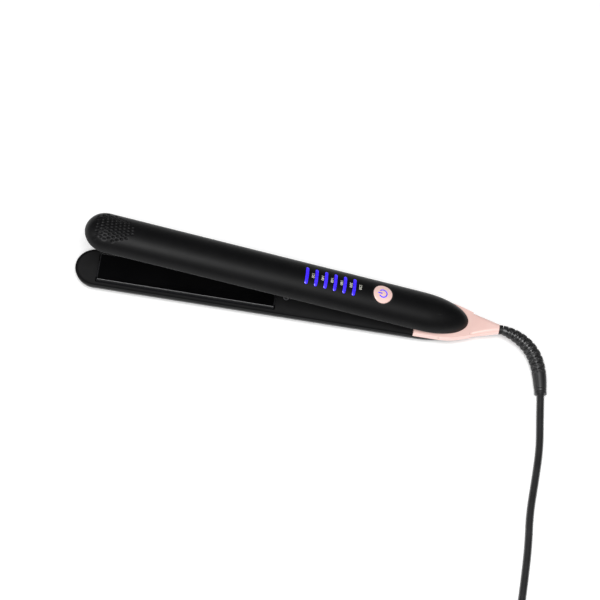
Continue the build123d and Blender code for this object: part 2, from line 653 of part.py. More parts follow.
# Plug, lying flat beside the coil, blades towards -X
PLUG_BACK = Plane(origin=from_tip(PLUG_X, COIL_Y - COIL_OUT, PLUG_Z), x_dir=(0, 1, 0), z_dir=(-1, 0, 0))
with BuildPart() as plug_body:
    for along_plug, width, high in ((0, 9.0, 9.0), (12, 17.0, 12.0), (22, 22.0, 14.6), (PLUG_L, 23.0, 14.6)):
        with BuildSketch(PLUG_BACK.offset(along_plug)):
            RectangleRounded(width, high, 3.2)
    loft(ruled=True)
save(plug_body.part, "plug_body")
with BuildPart() as plug_blades:
    with BuildSketch(PLUG_BACK.offset(PLUG_L)):
        with GridLocations(12.7, 1, 2, 1):
            Rectangle(1.5, 6.3)
    extrude(amount=17)
    chamfer(plug_blades.faces().sort_by(Axis.X)[:2].edges(), 0.35)
save(plug_blades.part, "plug_blades")
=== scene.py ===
"""Looks of the hair straightener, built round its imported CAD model. Metres, +Z up."""

import json
import math

import bmesh
import bpy
from mathutils import Matrix, Vector


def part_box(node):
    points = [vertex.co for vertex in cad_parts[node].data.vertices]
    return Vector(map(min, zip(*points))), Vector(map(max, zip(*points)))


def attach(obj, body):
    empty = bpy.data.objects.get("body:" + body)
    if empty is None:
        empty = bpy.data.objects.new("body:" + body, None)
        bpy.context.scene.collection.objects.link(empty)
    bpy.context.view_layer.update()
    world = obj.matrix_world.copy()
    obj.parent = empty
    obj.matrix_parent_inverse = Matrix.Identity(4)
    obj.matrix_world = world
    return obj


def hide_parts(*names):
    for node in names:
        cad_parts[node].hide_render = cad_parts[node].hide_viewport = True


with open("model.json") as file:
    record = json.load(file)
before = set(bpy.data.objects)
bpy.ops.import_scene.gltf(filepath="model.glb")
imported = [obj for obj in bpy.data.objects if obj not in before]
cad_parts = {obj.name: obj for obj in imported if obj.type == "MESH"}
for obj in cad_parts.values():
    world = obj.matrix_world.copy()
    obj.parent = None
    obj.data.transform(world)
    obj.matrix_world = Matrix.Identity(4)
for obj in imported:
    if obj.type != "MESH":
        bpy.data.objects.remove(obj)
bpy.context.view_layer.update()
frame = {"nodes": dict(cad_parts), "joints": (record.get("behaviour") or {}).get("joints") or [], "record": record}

MM = 0.001
JOINTS = {joint["name"]: joint for joint in frame["joints"]}
HINGE = Vector(JOINTS["arm_hinge"]["pos_m"])
OPEN = math.radians(JOINTS["arm_hinge"]["range_deg"][1])
TIP_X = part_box("lower_shell")[0][0]

# Arm sizes, in millimetres, as in the CAD model
ARM_LENGTH = 262.3
HINGE_AT = 253.0          # hinge axis, from the tip
HALF_W = 14.0             # half the width of an arm
CROWN = 11.8              # height of the crown above the arm's face
REST_CUT = 0.3            # flat on the lower arm's back
NOSE = 33.0               # length of the narrowing nose
NOSE_BLUNT = 2.6          # power of the nose's curve
WALL = 1.8
FACE_W = 2.5              # from the hinge axis to an arm's face
TIP_U = -HINGE_AT
NOSE_U = ARM_LENGTH - HINGE_AT
BARS_AT = 147.2
BAR_PITCH = 6.5
BAR_COUNT = 6
BAR_LENGTH = 12.4
BAR_WIDTH = 2.1
BAR_PROUD = 0.14
BUTTON_AT = 199.4
BUTTON_R = 6.4
RING_GAP = 0.2            # between the button and its ring
RING_R = BUTTON_R + 1.0
HOLE_R = BUTTON_R + 0.9   # hole in the casing, hidden under the ring
CORD_R = 2.5 * MM


# ---------------------------------------------------------------- frames of the two arms
def upper_point(u, y, w):
    """Point of the open upper arm: U along it, Y across it, W away from the hinge axis."""
    x = u * math.cos(OPEN) + w * math.sin(OPEN)
    z = -u * math.sin(OPEN) + w * math.cos(OPEN)
    return HINGE + Vector((x, y, z)) * MM


def lower_point(u, y, w):
    return HINGE + Vector((u, -y, -w)) * MM


def from_tip(x, y, z):
    """Point counted from the lower arm's tip, in millimetres above the table."""
    return Vector((TIP_X + x * MM, y * MM, z * MM))


def crown_w(u, y, proud=0.0):
    """Height W of the arm's outer surface at U and Y."""
    from_dome = max(0.0, TIP_U + HALF_W - u) / HALF_W
    left = 1 - (y / HALF_W) ** 2 - from_dome**2
    return FACE_W + CROWN * math.sqrt(max(left, 0.0)) + proud


# ---------------------------------------------------------------- camera
def make_camera():
    """Camera at the photograph's angle, rolled so that the arms slope down to the right."""
    azimuth = math.radians(-4.4)
    elevation = math.radians(60.97)
    roll = math.radians(12.88)
    distance = 1.680
    target = Vector((-0.0033, 0.0, 0.0265))
    back = Vector((math.sin(azimuth) * math.cos(elevation),
                   -math.cos(azimuth) * math.cos(elevation), math.sin(elevation)))
    level = Vector((math.cos(azimuth), math.sin(azimuth), 0.0))
    up = back.cross(level)
    right = level * math.cos(roll) + up * math.sin(roll)
    top = up * math.cos(roll) - level * math.sin(roll)
    data = bpy.data.cameras.new("camera")
    data.lens = 153.15
    data.sensor_width = 36.0
    data.shift_x = 0.022
    data.shift_y = -0.0224
    data.clip_start = 0.05
    data.clip_end = 20.0
    camera = bpy.data.objects.new("camera", data)
    bpy.context.scene.collection.objects.link(camera)
    turn = Matrix((right, top, back)).transposed().to_4x4()
    camera.matrix_world = Matrix.Translation(target + back * distance) @ turn
    bpy.context.scene.camera = camera


# ---------------------------------------------------------------- mesh helpers
def link(obj):
    bpy.context.scene.collection.objects.link(obj)
    return obj


def mesh_object(name, verts, faces, body, material, sharp=35.0):
    """Smooth-shaded mesh piece that rides on a body."""
    mesh = bpy.data.meshes.new(name)
    mesh.from_pydata([tuple(v) for v in verts], [], faces)
    tidy = bmesh.new()
    tidy.from_mesh(mesh)
    bmesh.ops.remove_doubles(tidy, verts=tidy.verts, dist=1e-6)
    bmesh.ops.recalc_face_normals(tidy, faces=tidy.faces)
    for face in tidy.faces:
        face.smooth = True
    for edge in tidy.edges:
        if len(edge.link_faces) == 2:
            edge.smooth = edge.calc_face_angle(0.0) < math.radians(sharp)
    tidy.to_mesh(mesh)
    tidy.free()
    mesh.materials.append(material)
    piece = link(bpy.data.objects.new(name, mesh))
    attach(piece, body)
    return piece


def grid_faces(rows, columns, close_rows=False, close_columns=True, start=0):
    """Quads between rows of points laid one after another."""
    faces = []
    for i in range(rows if close_rows else rows - 1):
        for j in range(columns if close_columns else columns - 1):
            a = start + i * columns + j
            b = start + i * columns + (j + 1) % columns
            c = start + ((i + 1) % rows) * columns + (j + 1) % columns
            d = start + ((i + 1) % rows) * columns + j
            faces.append((a, b, c, d))
    return faces


def cut(piece, cutter):
    """Takes one closed mesh out of another and throws the cutter away."""
    boolean = piece.modifiers.new("cut", "BOOLEAN")
    boolean.operation = "DIFFERENCE"
    boolean.solver = "EXACT"
    boolean.object = cutter
    bpy.context.view_layer.update()
    depsgraph = bpy.context.evaluated_depsgraph_get()
    mesh = bpy.data.meshes.new_from_object(piece.evaluated_get(depsgraph))
    piece.modifiers.clear()
    piece.data = mesh
    bpy.data.objects.remove(cutter)


# ---------------------------------------------------------------- materials
def new_material(name, metallic=0.0, coat=0.0, coat_roughness=0.1, sheen=0.0, ior=1.5):
    material = bpy.data.materials.new(name)
    material.use_nodes = True
    nodes = material.node_tree.nodes
    shader = nodes["Principled BSDF"]
    shader.inputs["Metallic"].default_value = metallic
    shader.inputs["Coat Weight"].default_value = coat
    shader.inputs["Coat Roughness"].default_value = coat_roughness
    shader.inputs["Sheen Weight"].default_value = sheen
    shader.inputs["IOR"].default_value = ior
    return material, material.node_tree, shader


def noise_node(tree, scale, detail=3.0, rough=0.5, stretch=(1, 1, 1)):
    """Noise in the piece's own metres, optionally stretched along an axis."""
    place = tree.nodes.new("ShaderNodeTexCoord")
    mapping = tree.nodes.new("ShaderNodeMapping")
    mapping.inputs["Scale"].default_value = stretch
    pattern = tree.nodes.new("ShaderNodeTexNoise")
    pattern.inputs["Scale"].default_value = scale
    pattern.inputs["Detail"].default_value = detail
    pattern.inputs["Roughness"].default_value = rough
    tree.links.new(place.outputs["Object"], mapping.inputs["Vector"])
    tree.links.new(mapping.outputs["Vector"], pattern.inputs["Vector"])
    return pattern.outputs["Fac"]


def ramp(tree, source, low, high, start=0.3, end=0.7):
    """Maps a pattern onto a range, as a grey or as a colour."""
    node = tree.nodes.new("ShaderNodeValToRGB")
    node.color_ramp.elements[0].position = start
    node.color_ramp.elements[1].position = end
    node.color_ramp.elements[0].color = low if isinstance(low, tuple) else (low, low, low, 1)
    node.color_ramp.elements[1].color = high if isinstance(high, tuple) else (high, high, high, 1)
    tree.links.new(source, node.inputs["Fac"])
    return node.outputs["Color"]


def bump(tree, shader, source, strength, distance, below=None):
    node = tree.nodes.new("ShaderNodeBump")
    node.inputs["Strength"].default_value = strength
    node.inputs["Distance"].default_value = distance
    tree.links.new(source, node.inputs["Height"])
    if below is not None:
        tree.links.new(below, node.inputs["Normal"])
    tree.links.new(node.outputs["Normal"], shader.inputs["Normal"])
    return node.outputs["Normal"]


def surface(name, dark, light, rough, grain, grain_depth, patch=60.0, stretch=(1, 1, 1), edge_wear_and_highlight=None, **kind):
    """Moulded, coated or drawn surface: colour patches, roughness variation, fine grain, and lighter convex edges,
    which are a painted edge highlight on the casing, plate and strain relief and wear on the screw heads.
    """
    material, tree, shader = new_material(name, **kind)
    patches = noise_node(tree, patch, 4.0, 0.6)
    colour = ramp(tree, patches, (*dark, 1), (*light, 1))
    # Lighter colour on convex edges: a painted edge highlight, except on the screws, where it is wear.
    if edge_wear_and_highlight is not None:
        pointed = tree.nodes.new("ShaderNodeNewGeometry").outputs["Pointiness"]
        edge = ramp(tree, pointed, 0.0, edge_wear_and_highlight[1], 0.52, 0.6)
        mix = tree.nodes.new("ShaderNodeMix")
        mix.data_type = "RGBA"
        mix.inputs["B"].default_value = (*edge_wear_and_highlight[0], 1)
        tree.links.new(edge, mix.inputs["Factor"])
        tree.links.new(colour, mix.inputs["A"])
        colour = mix.outputs["Result"]
    tree.links.new(colour, shader.inputs["Base Color"])
    fine = noise_node(tree, grain, 2.0, 0.5, stretch)
    tree.links.new(ramp(tree, noise_node(tree, patch * 2.7, 5.0, 0.65), rough[0], rough[1]),
                   shader.inputs["Roughness"])
    bump(tree, shader, fine, 0.5, grain_depth)
    return material


def lit_material(name, colour, edge_colour, strength):
    """Light guide lit from below: brighter in patches where the light comes through."""
    material, tree, shader = new_material(name, coat=0.4)
    patches = noise_node(tree, 900.0, 2.0)
    tree.links.new(ramp(tree, patches, (*edge_colour, 1), (*colour, 1), 0.35, 0.6),
                   shader.inputs["Emission Color"])
    tree.links.new(ramp(tree, patches, (*edge_colour, 1), (*colour, 1)), shader.inputs["Base Color"])
    tree.links.new(ramp(tree, noise_node(tree, 300.0), 0.25, 0.4), shader.inputs["Roughness"])
    shader.inputs["Emission Strength"].default_value = strength
    return material


# Its lighter convex edges are a painted highlight along the rounded rims of the arms.
SOFT_BLACK = surface("soft_touch_black", (0.0026, 0.0026, 0.0029), (0.0040, 0.0040, 0.0044),
                     (0.42, 0.48), 5200.0, 0.00002, edge_wear_and_highlight=((0.02, 0.02, 0.021), 0.3), ior=1.26)
# Lighter, glossier copy of the casing's black for the upper arm's rim rows: its lighter colour is a painted
# highlight of the bright line along the rim.
RIM_HIGHLIGHT_BLACK = surface("rim_painted_highlight", (0.010, 0.010, 0.0105), (0.017, 0.017, 0.018),
                    (0.24, 0.34), 3600.0, 0.00001, ior=1.75)
COVER_BLACK = surface("cover_black", (0.0040, 0.0040, 0.0043), (0.0060, 0.0060, 0.0064),
                      (0.50, 0.6), 3800.0, 0.00003, ior=1.38)
# Its lighter convex edges are a painted highlight along the plate's edges.
PLATE_BLACK = surface("plate_ceramic", (0.0008, 0.0008, 0.0010), (0.0016, 0.0016, 0.0018),
                      (0.12, 0.20), 700.0, 0.0000012, edge_wear_and_highlight=((0.06, 0.06, 0.065), 0.3), ior=1.3)
ROSE_GOLD = surface("rose_gold", (0.95, 0.64, 0.58), (0.99, 0.70, 0.64),
                    (0.26, 0.36), 2600.0, 0.000004, metallic=0.12, coat=0.3, coat_roughness=0.12)
BLUE_LIGHT = lit_material("blue_light", (0.045, 0.02, 0.9), (0.02, 0.006, 0.42), 0.85)
STEEL = surface("spring_steel", (0.42, 0.42, 0.44), (0.6, 0.6, 0.62),
                (0.25, 0.42), 1800.0, 0.00001, stretch=(1, 8, 1), metallic=1.0)
SCREW_BLACK = surface("screw_black", (0.015, 0.015, 0.016), (0.035, 0.035, 0.037),
                      (0.35, 0.5), 2600.0, 0.00001, edge_wear_and_highlight=((0.4, 0.4, 0.42), 0.7), metallic=0.8)
CERAMIC = surface("heater_ceramic", (0.68, 0.66, 0.6), (0.85, 0.83, 0.78),
                  (0.6, 0.8), 2500.0, 0.00002)
ALUMINIUM = surface("aluminium_bar", (0.6, 0.6, 0.62), (0.74, 0.74, 0.75),
                    (0.3, 0.45), 1500.0, 0.00001, stretch=(1, 10, 10), metallic=1.0)
SILICONE = surface("silicone_red", (0.32, 0.04, 0.03), (0.45, 0.07, 0.05),
                   (0.5, 0.65), 2500.0, 0.00002)
BOARD = surface("board_green", (0.012, 0.12, 0.045), (0.025, 0.19, 0.07),
                (0.25, 0.4), 1200.0, 0.00001, coat=0.4)
CHIP_BLACK = surface("component_black", (0.015, 0.015, 0.015), (0.03, 0.03, 0.03),
                     (0.45, 0.6), 3000.0, 0.00002)
LED_WHITE = surface("led_white", (0.8, 0.78, 0.66), (0.92, 0.9, 0.8),
                    (0.3, 0.4), 2000.0, 0.00001)
WIRE_WHITE = surface("wire_white", (0.62, 0.62, 0.6), (0.8, 0.8, 0.77),
                     (0.6, 0.8), 5000.0, 0.00004, stretch=(1, 3, 3))
FUSE_METAL = surface("fuse_metal", (0.55, 0.55, 0.56), (0.75, 0.75, 0.76),
                     (0.2, 0.35), 1500.0, 0.00001, metallic=1.0)
CORD_BLACK = surface("cord_black", (0.015, 0.015, 0.0155), (0.025, 0.025, 0.026),
                     (0.30, 0.40), 2600.0, 0.00002, coat=0.15, coat_roughness=0.25)
# Its lighter convex edges are a painted highlight on the ribs of the strain relief.
RELIEF_BLACK = surface("relief_black", (0.010, 0.010, 0.0105), (0.018, 0.018, 0.019),
                       (0.36, 0.48), 2600.0, 0.00002, edge_wear_and_highlight=((0.035, 0.035, 0.036), 0.5))
BRASS = surface("plug_metal", (0.62, 0.52, 0.28), (0.78, 0.68, 0.42),
                (0.2, 0.34), 1600.0, 0.00001, stretch=(1, 9, 9), metallic=1.0)
TIE_FABRIC = surface("tie_fabric", (0.012, 0.012, 0.013), (0.03, 0.03, 0.031),
                     (0.7, 0.9), 3000.0, 0.00015, stretch=(1, 1, 3), sheen=0.3)
PRINT = surface("number_print", (0.72, 0.72, 0.62), (0.9, 0.9, 0.8),
                (0.5, 0.6), 3000.0, 0.00001)

SLOT_MATERIALS = {
    "soft_touch_black": SOFT_BLACK, "cover_black": COVER_BLACK, "plate_ceramic": PLATE_BLACK,
    "rose_gold": ROSE_GOLD, "blue_light": BLUE_LIGHT, "spring_steel": STEEL,
    "screw_black": SCREW_BLACK, "heater_ceramic": CERAMIC, "aluminium_bar": ALUMINIUM,
    "silicone_red": SILICONE, "board_green": BOARD, "component_black": CHIP_BLACK,
    "led_white": LED_WHITE, "wire_white": WIRE_WHITE, "fuse_metal": FUSE_METAL,
    "cord_black": CORD_BLACK, "relief_black": RELIEF_BLACK, "plug_metal": BRASS,
}


def dress_nodes():
    """Gives every CAD node the material of its slot."""
    for part in frame["record"]["subparts"]:
        node = frame["nodes"][part["node"]]
        node.data.materials.clear()
        node.data.materials.append(SLOT_MATERIALS[part["material_slot"]])


# ---------------------------------------------------------------- mains cord
RELIEF = [(286.7, 0, 14.0), (293.5, -1.3, 13.6), (300.8, -4.6, 12.4), (307.2, -9.7, 10.8),
          (311.9, -16.5, 9.0), (315.0, -25.5, 7.0), (316.8, -38.5, 5.0)]
ROUTE = [(316.8, -38.5, 5.0), (318.0, -55.0, 3.3), (319.6, -77.0, 2.5), (318.2, -101.0, 2.5),
         (316.5, -124.0, 2.5), (317.3, -147.0, 2.5), (316.6, -171.0, 2.5), (315.2, -200.0, 2.5)]
COIL_X = 277.4
COIL_Y = -240.0
COIL_OUT = 37.6           # radius of the outermost turn, where the cord joins and leaves
TURN_STEP = 5.1           # between turns that lie side by side
TURNS_IN_LAYER = 4
INMOST_TURN = 3.4         # turns after which the lower layer stops closing in
CLIMB_TURNS = 0.9         # turns over which the cord climbs to the upper layer
STEPS_A_TURN = 18
LAYER_Z = (3.3, 8.3)
PLUG_X = COIL_X - 45
PLUG_Z = 7.5
PLUG_ROUTE = [(COIL_X - 14, COIL_Y - COIL_OUT - 0.2, 8.0), (COIL_X - 30, COIL_Y - COIL_OUT + 0.2, 7.7),
              (PLUG_X, COIL_Y - COIL_OUT, PLUG_Z)]


def coil_points():
    """Eight and a quarter turns: inwards on the table, then back outwards on top of them."""
    points = []
    total = STEPS_A_TURN * (2 * TURNS_IN_LAYER) + STEPS_A_TURN // 4
    for i in range(total + 1):
        turn = i / STEPS_A_TURN
        inward = min(turn, 2 * TURNS_IN_LAYER - turn)
        rank = min(inward, INMOST_TURN) - 0.5
        climb = min(max((turn - (TURNS_IN_LAYER - 0.5)) / CLIMB_TURNS, 0.0), 1.0)
        height = LAYER_Z[0] + (LAYER_Z[1] - LAYER_Z[0]) * climb
        radius = COIL_OUT - TURN_STEP * rank
        angle = -2 * math.pi * turn
        points.append((COIL_X + radius * math.cos(angle), COIL_Y + radius * math.sin(angle), height))
    return points


def make_cord():
    """One spline from the strain relief, along the table, through the coil, to the plug."""
    route = [from_tip(*p) for p in ROUTE + coil_points() + PLUG_ROUTE]
    curve = bpy.data.curves.new("mains_cord", "CURVE")
    curve.dimensions = "3D"
    curve.bevel_depth = CORD_R
    curve.bevel_resolution = 7
    curve.resolution_u = 10
    curve.use_fill_caps = True
    spline = curve.splines.new("NURBS")
    spline.points.add(len(route) - 1)
    for point, place in zip(spline.points, route):
        point.co = (*place, 1.0)
    spline.order_u = 3
    spline.use_endpoint_u = True
    curve.materials.append(CORD_BLACK)
    cord = link(bpy.data.objects.new("mains_cord", curve))
    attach(cord, "lower_arm")
    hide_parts("cord_tube", "cord_coil", "plug_lead")
    return cord


def sweep_frames(points, count):
    """Evenly spaced places along a smooth curve, each with a centre and two cross directions."""
    curve = bpy.data.curves.new("line", "CURVE")
    curve.dimensions = "3D"
    curve.resolution_u = 40
    spline = curve.splines.new("NURBS")
    spline.points.add(len(points) - 1)
    for point, place in zip(spline.points, points):
        point.co = (*place, 1.0)
    spline.order_u = 4
    spline.use_endpoint_u = True
    helper = bpy.data.objects.new("line", curve)
    mesh = bpy.data.meshes.new_from_object(helper)
    line = [v.co.copy() for v in mesh.vertices]
    bpy.data.objects.remove(helper)
    bpy.data.meshes.remove(mesh)
    run = [0.0]
    for a, b in zip(line, line[1:]):
        run.append(run[-1] + (b - a).length)
    frames = []
    side = Vector((0, 0, 1))
    k = 0
    for i in range(count):
        s = run[-1] * i / (count - 1)
        while k < len(run) - 2 and run[k + 1] < s:
            k += 1
        share = (s - run[k]) / max(run[k + 1] - run[k], 1e-12)
        centre = line[k].lerp(line[k + 1], share)
        ahead = (line[min(k + 2, len(line) - 1)] - line[max(k - 1, 0)]).normalized()
        side = (side - ahead * side.dot(ahead)).normalized()
        frames.append((s, centre, side.copy(), ahead.cross(side)))
    return frames


# Sleeve of the strain relief: millimetres, and shares of its length
RELIEF_R = 3.1            # radius where it leaves the tail
RELIEF_GROWTH = 1.0       # added radius at its far end
RELIEF_SWELL = 1.25       # added radius at its fullest
SLOT_PITCH = 2.15 * MM
SLOTS_AROUND = 6
SLOT_DEPTH = 0.85
SLOTTED = (0.05, 0.76)
COLLAR_RINGS = (0.93, 0.965)
COLLAR_RING_DEPTH = 0.22
COLLAR_RING_WIDTH = 0.004


def slot_depth(ring, phase, turn):
    """Depth at a share PHASE of a ring of slots, and a share TURN of the way round it."""
    across = (turn * SLOTS_AROUND + 0.5 * (ring % 2)) % 1.0
    groove = 1 - min(1.0, abs(phase - 0.5) / 0.26) ** 4
    web = 1 - min(1.0, abs(across - 0.5) / 0.42) ** 6
    return SLOT_DEPTH * max(groove, 0.0) * max(web, 0.0)


def make_strain_relief():
    """Tapered sleeve with staggered slots round it, ending in a smooth collar with two fine rings."""
    count = 300
    around = 72
    frames = sweep_frames([from_tip(*p) for p in RELIEF], count)
    full = frames[-1][0]
    verts = []
    for s, centre, side, other in frames:
        share = s / full
        swell = math.sin(math.pi * min(share / 0.95, 1.0)) ** 0.8
        radius = RELIEF_R + RELIEF_GROWTH * share + RELIEF_SWELL * swell
        ring = int(s / SLOT_PITCH)
        phase = (s / SLOT_PITCH) % 1.0
        slotted = SLOTTED[0] < share < SLOTTED[1]
        for j in range(around):
            angle = 2 * math.pi * j / around
            depth = slot_depth(ring, phase, angle / (2 * math.pi)) if slotted else 0.0
            for line_at in COLLAR_RINGS:
                depth += COLLAR_RING_DEPTH * math.exp(-((share - line_at) / COLLAR_RING_WIDTH) ** 2)
            reach = (radius - depth) * MM
            verts.append(centre + (side * math.cos(angle) + other * math.sin(angle)) * reach)
    faces = grid_faces(count, around)
    first = len(verts)
    verts += [frames[0][1], frames[-1][1]]
    for j in range(around):
        faces.append((first, (j + 1) % around, j))
        last = (count - 1) * around
        faces.append((first + 1, last + j, last + (j + 1) % around))
    piece = mesh_object("ribbed_strain_relief", verts, faces, "lower_arm", RELIEF_BLACK, 60)
    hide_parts("strain_relief")
    return piece


# Plug body, in millimetres from where the cord enters it
PLUG_LENGTH = 34.0
PLUG_NECK_R = 3.9
PLUG_NECK = 9.0           # length of the neck before it widens
PLUG_SHOULDER = 14.0      # length over which it widens
PLUG_WIDENS = 7.5
PLUG_THICKENS = 3.3
PLUG_RIDGE = 0.35         # depth of the grooves round the neck and along the grip
NECK_GROOVES = (0.0, 10.0, 6)
GRIP_GROOVES = (20.0, 30.0, 5)


def groove_depth(s, grooves):
    """Depth of a row of grooves, given as its start, end and number, at S."""
    start, end, count = grooves
    if not start < s < end:
        return 0.0
    return PLUG_RIDGE * math.sin((s - start) / (end - start) * math.pi * count) ** 2


def plug_section(s):
    """Half width, half height and squareness of the plug body at S."""
    grow = min(max((s - PLUG_NECK) / PLUG_SHOULDER, 0.0), 1.0)
    grow = grow * grow * (3 - 2 * grow)
    neck = groove_depth(s, NECK_GROOVES)
    end = max(min(s / 0.8, (PLUG_LENGTH - s) / 1.0, 1.0), 0.0)
    rounded = 0.8 * (1 - math.sqrt(max(0.0, 1 - (1 - end) ** 2)))
    half_w = PLUG_NECK_R + PLUG_WIDENS * grow - neck - groove_depth(s, GRIP_GROOVES) - rounded
    half_h = PLUG_NECK_R + PLUG_THICKENS * grow - neck - rounded
    return half_w, half_h, 2.0 + 2.2 * grow


def make_plug():
    """Moulded plug body: a rounded block with a narrow neck, ridges round the neck and on the grip."""
    count = 120
    around = 64
    verts = []
    start = from_tip(PLUG_X, COIL_Y - COIL_OUT, PLUG_Z)
    for i in range(count):
        s = i / (count - 1) * PLUG_LENGTH
        half_w, half_h, power = plug_section(s)
        for j in range(around):
            angle = 2 * math.pi * j / around
            c = math.cos(angle)
            q = math.sin(angle)
            y = half_w * math.copysign(abs(c) ** (2 / power), c)
            z = half_h * math.copysign(abs(q) ** (2 / power), q)
            verts.append(start + Vector((-s, y, z)) * MM)
    faces = grid_faces(count, around)
    faces.append(tuple(range(around)))
    faces.append(tuple(range((count - 1) * around, count * around)))
    piece = mesh_object("moulded_plug", verts, faces, "lower_arm", CORD_BLACK, 40)
    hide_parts("plug_body")
    return piece


make_camera()
dress_nodes()
cord = make_cord()
relief = make_strain_relief()
plug = make_plug()
frame["nodes"]["cord_tie"].data.materials.clear()
frame["nodes"]["cord_tie"].data.materials.append(TIE_FABRIC)


# ---------------------------------------------------------------- arm shells
def outline(height, inset, crown, stations):
    """Plan outline of an arm at one height above its face: round tip, straight sides, blunt nose."""
    half = HALF_W - inset
    scale = math.sqrt(1 - (height / crown) ** 2)
    reach = (1 - (height / crown) ** NOSE_BLUNT) ** (1 / NOSE_BLUNT)
    tip_c = TIP_U + HALF_W
    nose_c = NOSE_U - NOSE
    arc = 48
    tip = []
    nose = []
    for i in range(arc + 1):
        a = math.pi / 2 + math.pi * i / arc
        tip.append((tip_c + half * scale * math.cos(a), half * scale * math.sin(a)))
        q = reach * math.sin(math.pi * i / arc)
        top = crown * (1 - q**NOSE_BLUNT) ** (1 / NOSE_BLUNT)
        left = max(0.0, 1 - (height / top) ** 2) if top > 0 else 0.0
        y = half * math.sqrt(max(0.0, 1 - q * q) * left)
        nose.append((nose_c + (NOSE - inset) * q, y if i > arc / 2 else -y))
    near = [(u, -half * scale) for u in stations]
    far = [(u, half * scale) for u in reversed(stations)]
    return tip + near + nose + far


# Grip dimples, in millimetres from the tip
DIMPLES_FROM = 4.5
DIMPLES_TO = 36.0
DIMPLES_HALF_W = 10.6
DIMPLE_FIRST = 6.8        # first column of dimples
DIMPLE_COLUMNS = 10
DIMPLE_PITCH_U = 2.75
DIMPLE_PITCH_Y = 2.25
DIMPLE_HALF_U = 1.0
DIMPLE_HALF_Y = 0.55
DIMPLE_DEPTH = 0.62


def grip_dimple_depth(u, y):
    """Staggered oval dimples in the crown near the tip, thinning out along the arm."""
    along = u - TIP_U
    if not DIMPLES_FROM < along < DIMPLES_TO or abs(y) > DIMPLES_HALF_W:
        return 0.0
    column = round((along - DIMPLE_FIRST) / DIMPLE_PITCH_U)
    depth = 0.0
    for c in (column - 1, column, column + 1):
        if not 0 <= c < DIMPLE_COLUMNS:
            continue
        shift = 0.5 if c % 2 else 0.0
        row = round(y / DIMPLE_PITCH_Y - shift) + shift
        reach = 9.2 - 0.24 * max(0, c - 4) ** 2.2
        if abs(row * DIMPLE_PITCH_Y) > reach:
            continue
        du = (along - DIMPLE_FIRST - c * DIMPLE_PITCH_U) / DIMPLE_HALF_U
        dy = (y - row * DIMPLE_PITCH_Y) / DIMPLE_HALF_Y
        depth = max(depth, DIMPLE_DEPTH * math.exp(-((du * du + dy * dy) ** 1.5)))
    return depth


RIM_R = 0.75              # rounding of an arm's rim
RIM_STEPS = 6
SIDE_STEPS = 14           # rows from the rim up to the shoulder
SHOULDER = 48.0           # degrees up the section, where the dimples begin
CROWN_TOP = 89.6          # degrees up the section, where the crown is closed
INNER_STEPS = 8
NOSE_STEPS = 36


def shell_stations(dimpled):
    """Places along the straight sides, close together over the dimples."""
    step, count = (0.28, 84) if dimpled else (6, 3)
    stations = [TIP_U + HALF_W + step * i for i in range(1, count + 1)]
    last = stations[-1]
    rest = NOSE_U - NOSE - last
    return stations + [last + rest * i / NOSE_STEPS for i in range(1, NOSE_STEPS)]


def outer_levels(dimpled):
    """Height above the face and inset of each row, from the face round the rim and up the crown."""
    levels = []
    for i in range(RIM_STEPS + 1):
        a = math.pi / 2 * i / RIM_STEPS
        levels.append((RIM_R * (1 - math.cos(a)), RIM_R * (1 - math.sin(a))))
    first = math.asin(RIM_R / CROWN)
    side = math.radians(SHOULDER) - first
    angles = [first + side * i / SIDE_STEPS for i in range(1, SIDE_STEPS + 1)]
    steps = 52 if dimpled else 16
    over = CROWN_TOP - SHOULDER
    angles += [math.radians(SHOULDER + over * i / steps) for i in range(1, steps + 1)]
    return levels + [(CROWN * math.sin(a), 0.0) for a in angles]


def inner_levels():
    """Height above the face and inset of each row of the inside, from the face up."""
    inner_crown = CROWN - WALL
    angles = [math.pi / 2 * 0.985 * i / INNER_STEPS for i in range(INNER_STEPS + 1)]
    return [(inner_crown * math.sin(a), WALL) for a in angles]


def arm_shell(name, place, body, cad_node, dimpled, flat_back, relieved):
    """Thin closed shell of an arm, with a rounded rim, and dimples where it has them."""
    stations = shell_stations(dimpled)
    inside = [outline(height, inset, CROWN - WALL, stations) for height, inset in inner_levels()]
    outside = [outline(height, inset, CROWN, stations) for height, inset in outer_levels(dimpled)]
    heights = [height for height, _ in reversed(inner_levels())]
    heights += [height for height, _ in outer_levels(dimpled)]
    rows = list(reversed(inside)) + outside
    verts = []
    for index, (row, height) in enumerate(zip(rows, heights)):
        outer = index >= len(inside)
        for u, y in row:
            w = FACE_W + height
            if outer and dimpled:
                w -= grip_dimple_depth(u, y)
            if outer and flat_back:
                w = min(w, FACE_W + CROWN - REST_CUT)
            if relieved and u > -1:
                w = max(w, FACE_W + (u + 1) * math.tan(OPEN))
            verts.append(place(u, y, w))
    count = len(rows[0])
    faces = grid_faces(len(rows), count)
    faces.append(tuple(range(count)))
    top = (len(rows) - 1) * count
    faces.append(tuple(range(top, top + count)))
    piece = mesh_object(name, verts, faces, body, SOFT_BLACK, 50)
    if dimpled:
        # The rim rows of the upper arm get the lighter rim material, a painted highlight along its edge.
        piece.data.materials.append(RIM_HIGHLIGHT_BLACK)
        for index, polygon in enumerate(piece.data.polygons):
            if len(inside) <= index // count < len(inside) + RIM_STEPS - 1:
                polygon.material_index = 1
    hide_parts(cad_node)
    return piece


